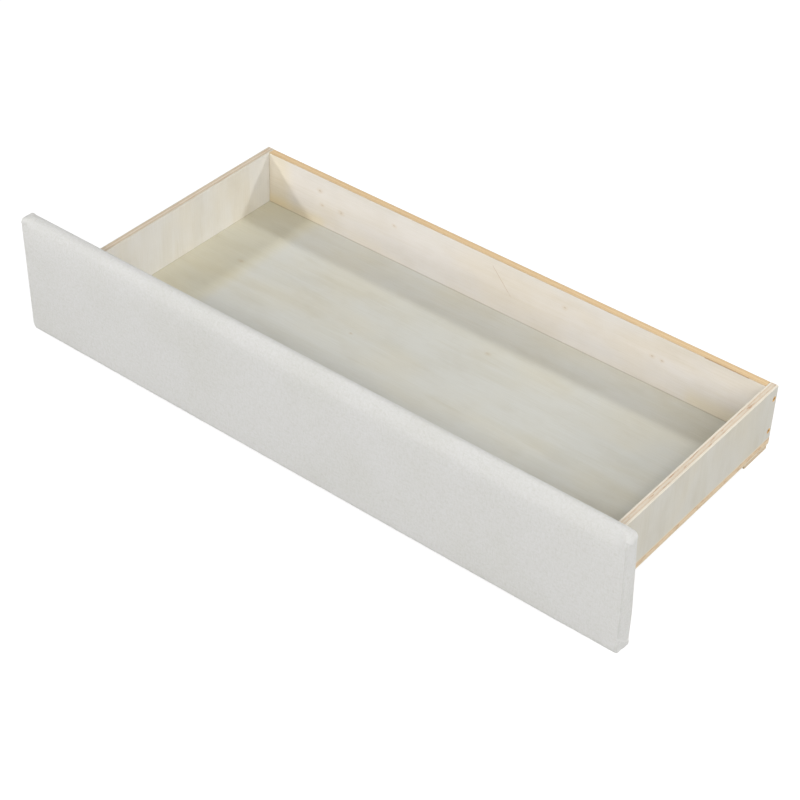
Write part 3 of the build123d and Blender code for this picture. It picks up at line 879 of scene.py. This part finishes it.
def cloth_material():
    """Off-white woven cloth with uneven threads, soft fuzz and a faint shading from handling."""
    material, tree, shader, place = start_material("off_white_cloth")
    flat = add_node(tree, "UVMap", uv_map="weave").outputs[0]
    threads = move_place(tree, "SCALE", flat, 1 / weave_pitch)
    weave = add_group(tree, weave_group, {"Map": threads})
    warp_slubs = grainy(tree, threads, (1.1, 0.045, 0.0), detail=2.0)
    weft_slubs = grainy(tree, threads, (0.045, 1.1, 0.0), detail=2.0)
    slubs = reckon(tree, "MULTIPLY", reckon(tree, "ADD", warp_slubs, weft_slubs), 0.5)
    fuzz = grainy(tree, threads, (2.6, 2.6, 0.0), detail=3.0, roughness=0.7)
    mottle = grainy(tree, threads, (0.16, 0.16, 0.0), detail=4.0, roughness=0.6)
    clouds = grainy(tree, place, (9.0, 9.0, 9.0), detail=3.0)
    colour = mixed(tree, reckon(tree, "MULTIPLY", weave["Gap"], 0.5), cloth_colour, paint(196, 196, 190))
    colour = mixed(tree, rise(tree, slubs, 0.42, 0.66), colour, paint(245, 245, 242), "MULTIPLY")
    colour = mixed(tree, rise(tree, mottle, 0.4, 0.75), colour, paint(247, 247, 244), "MULTIPLY")
    colour = mixed(tree, rise(tree, clouds, 0.4, 0.75), colour, paint(251, 251, 249), "MULTIPLY")
    tree.links.new(colour, shader.inputs["Base Color"])
    tree.links.new(reckon(tree, "MULTIPLY_ADD", fuzz, 0.15, 0.66), shader.inputs["Roughness"])
    shader.inputs["Sheen Weight"].default_value = 0.15
    shader.inputs["Sheen Roughness"].default_value = 0.4
    relief = reckon(tree, "MULTIPLY_ADD", slubs, 0.5, weave["Height"])
    relief = reckon(tree, "MULTIPLY_ADD", fuzz, 0.35, relief)
    add_bump(tree, shader, relief, 0.12 * mm)
    return material


cover.data.materials.append(cloth_material())
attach(cover, "drawer")
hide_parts("front_cover")


# Backing cloth and staples
# A sheet of thin dark spunbonded cloth hides the raw hems on the rear of the front panel. It
# is stapled round its edge, puckers a little at each staple and slackens inside the hems.
backing_low, backing_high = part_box("front_backing_cloth")
backing_thickness = 0.3 * mm
backing_gap = 6 * mm
pucker_reach = 9 * mm
pucker_depth = 0.1 * mm
slack_depth = 0.5 * mm
edge_scallop = 0.9 * mm


def loose_parts(node):
    """The middle of each separate solid of a node of the frame."""
    mesh = nodes[node].data
    owner = {}
    places = {}
    for vertex in mesh.vertices:
        key = tuple(round(value / (0.001 * mm)) for value in vertex.co)
        places.setdefault(key, []).append(vertex.index)
        owner[vertex.index] = key

    parent = {key: key for key in places}

    def root(key):
        while parent[key] != key:
            parent[key] = parent[parent[key]]
            key = parent[key]
        return key

    for edge in mesh.edges:
        first, second = (root(owner[index]) for index in edge.vertices)
        parent[first] = second
    groups = {}
    for key, indices in places.items():
        groups.setdefault(root(key), []).extend(mesh.vertices[index].co for index in indices)
    middles = []
    for points in groups.values():
        low = Vector(min(point[axis] for point in points) for axis in range(3))
        high = Vector(max(point[axis] for point in points) for axis in range(3))
        middles.append((low + high) / 2)
    return middles


staple_places = loose_parts("front_staples")
bpy.ops.object.select_all(action="DESELECT")
bpy.ops.mesh.primitive_grid_add(
    x_subdivisions=round((backing_high.x - backing_low.x) / backing_gap),
    y_subdivisions=round((backing_high.z - backing_low.z) / backing_gap),
    size=1,
)
backing = bpy.context.object
backing.name = "rear_backing_cloth"
backing.scale = (backing_high.x - backing_low.x, backing_high.z - backing_low.z, 1)
backing.rotation_euler = (math.pi / 2, 0, 0)
backing.location = (0, backing_high.y - backing_thickness, (backing_low.z + backing_high.z) / 2)
bpy.ops.object.transform_apply(location=True, rotation=True, scale=True)
for vertex in backing.data.vertices:
    x, y, z = vertex.co
    nearest = min((Vector((x - spot.x, 0, z - spot.z)).length for spot in staple_places))
    pucker = 1 - step_between(nearest, 0, pucker_reach)
    inside = min(backing_high.x - abs(x), z - backing_low.z, backing_high.z - z)
    slack = step_between(inside, hem_width, 2 * hem_width)
    wave = 0.5 + 0.5 * noise.noise(Vector((x * 16, 3, z * 16)))
    vertex.co.y -= pucker * pucker_depth + slack * wave * slack_depth
    if inside < backing_gap / 2:
        ragged = 0.3 * noise.noise(Vector((x * 50, 0, z * 50)))
        pull = edge_scallop * (step_between(nearest, 0, 4 * pucker_reach) + ragged)
        if backing_high.x - abs(x) < backing_gap / 2:
            vertex.co.x -= math.copysign(pull, x)
        if min(z - backing_low.z, backing_high.z - z) < backing_gap / 2:
            vertex.co.z += math.copysign(pull, backing_low.z + backing_high.z - 2 * z)
wall = backing.modifiers.new("wall", "SOLIDIFY")
wall.thickness = backing_thickness
wall.offset = 0
bpy.ops.object.modifier_apply(modifier=wall.name)
bpy.ops.object.shade_smooth()


def spunbond_material():
    """Thin dark cloth of bonded fibres, dimpled by the roller that bonds it."""
    material, tree, shader, place = start_material("dark_spunbond")
    place = move_place(tree, "SCALE", place, 1 / mm)
    fibres = grainy(tree, place, (0.8, 0.8, 0.25), detail=5.0, roughness=0.75, distortion=1.5)
    studs = {"Vector": place, "Scale": 0.9, "Randomness": 0.15}
    dimples = add_node(tree, "TexVoronoi", studs).outputs["Distance"]
    dimple = fall(tree, dimples, 0.15, 0.35)
    colour = mixed(tree, rise(tree, fibres, 0.35, 0.75), paint(52, 52, 53), paint(88, 88, 89))
    colour = mixed(tree, reckon(tree, "MULTIPLY", dimple, 0.5), colour, paint(40, 40, 42))
    tree.links.new(colour, shader.inputs["Base Color"])
    shader.inputs["Roughness"].default_value = 0.8
    relief = reckon(tree, "SUBTRACT", fibres, reckon(tree, "MULTIPLY", dimple, 0.6))
    add_bump(tree, shader, relief, 0.12 * mm)
    return material


backing.data.materials.append(spunbond_material())
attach(backing, "drawer")
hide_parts("front_backing_cloth")
dress(plated_material("staple_zinc", paint(190, 192, 194), paint(160, 162, 165), 0.3, 300.0), "front_staples")


# Studio
# A plain white floor that keeps a soft shadow, large soft lamps on all sides, and the camera
# of the product photograph, high on the right of the front.
def seen_white(tree, lit, kept=None, strength=1.0):
    """A shader that shows white to the camera and in reflections, and the lit one to all other
    light. What is kept, such as a faint shadow, shows over the white."""
    path = add_node(tree, "LightPath").outputs
    rays = reckon(tree, "MAXIMUM", path["Is Camera Ray"], path["Is Glossy Ray"])
    rays = reckon(tree, "MAXIMUM", rays, path["Is Transmission Ray"])
    glow_name = "Background" if lit.node.bl_idname == "ShaderNodeBackground" else "Emission"
    glow = add_node(tree, glow_name, {"Color": (1, 1, 1, 1), "Strength": strength}).outputs[0]
    if kept:
        glow = add_node(tree, "AddShader", {0: glow, 1: kept}).outputs[0]
    return add_node(tree, "MixShader", {0: rays, 1: lit, 2: glow}).outputs[0]


floor_size = 12.0
floor_albedo = 0.5
shadow_share = 0.24
bpy.ops.object.select_all(action="DESELECT")
bpy.ops.mesh.primitive_plane_add(size=floor_size, location=(0, 0, 0))
floor = bpy.context.object
floor.name = "studio_floor"
floor_paint = bpy.data.materials.new("white_floor")
floor_paint.use_nodes = True
tree = floor_paint.node_tree
tree.nodes.remove(tree.nodes["Principled BSDF"])
matt = add_node(tree, "BsdfDiffuse", {"Color": (floor_albedo, floor_albedo, floor_albedo, 1)}).outputs[0]
faint = add_node(tree, "BsdfDiffuse", {"Color": (shadow_share, shadow_share, shadow_share, 1)}).outputs[0]
surface = seen_white(tree, matt, faint, 1 - shadow_share / 2)
tree.links.new(surface, tree.nodes["Material Output"].inputs["Surface"])
floor.data.materials.append(floor_paint)

sky_strength = 0.228
world = bpy.data.worlds.new("studio")
bpy.context.scene.world = world
world.use_nodes = True
tree = world.node_tree
sky = tree.nodes["Background"]
sky.inputs["Color"].default_value = (1, 1, 1, 1)
sky.inputs["Strength"].default_value = sky_strength
tree.links.new(seen_white(tree, sky.outputs[0]), tree.nodes["World Output"].inputs["Surface"])


def soft_lamp(name, place, target, size, power):
    """A square softbox at this place, turned to its target."""
    bpy.ops.object.light_add(type="AREA", location=place)
    lamp = bpy.context.object
    lamp.name = name
    lamp.data.shape = "SQUARE"
    lamp.data.size = size
    lamp.data.energy = power
    lamp.rotation_euler = (Vector(target) - Vector(place)).to_track_quat("-Z", "Y").to_euler()


lamp_target = (0, 0, 0.08)
# The place, size and power of each
softboxes = {
    "left": ((-2.2, -2.2, 1.985), 0.35, 36),
    "front_left_low": ((-0.6, -3.8, 1.25), 0.35, 28.6),
    "front_high": ((0.4, -2.4, 3.0), 0.5, 9),
    "front_right_low": ((2.6, -2.6, 1.53), 1.2, 7.8),
    "front_right_high": ((2.24, -2.24, 2.46), 1.2, 30),
    "right": ((3.32, -1.0, 1.99), 1.2, 26),
    "right_rear": ((3.5, 1.17, 1.41), 0.35, 22),
    "back_right": ((2.0, 2.0, 2.51), 0.35, 13.6),
    "back": ((0.48, 2.4, 3.03), 0.35, 20),
    "overhead": ((0, -0.8, 4.0), 1.2, 4),
}
for name, (place, size, power) in softboxes.items():
    soft_lamp(name + "_softbox", place, lamp_target, size, power)

camera_place = (1.31768, -1.73058, 1.76979)
camera_azimuth = 37.441
camera_elevation = 38.881
camera_roll = 1.999
camera_lens = 93.59
bpy.ops.object.camera_add()
camera = bpy.context.object
turn = Matrix.Rotation(math.radians(camera_azimuth), 4, "Z")
tilt = Matrix.Rotation(math.radians(90 - camera_elevation), 4, "X")
roll = Matrix.Rotation(math.radians(camera_roll), 4, "Z")
camera.matrix_world = Matrix.Translation(camera_place) @ turn @ tilt @ roll
camera.data.lens = camera_lens
camera.data.clip_start = 0.05
bpy.context.scene.camera = camera
bpy.context.scene.view_settings.view_transform = "Standard"
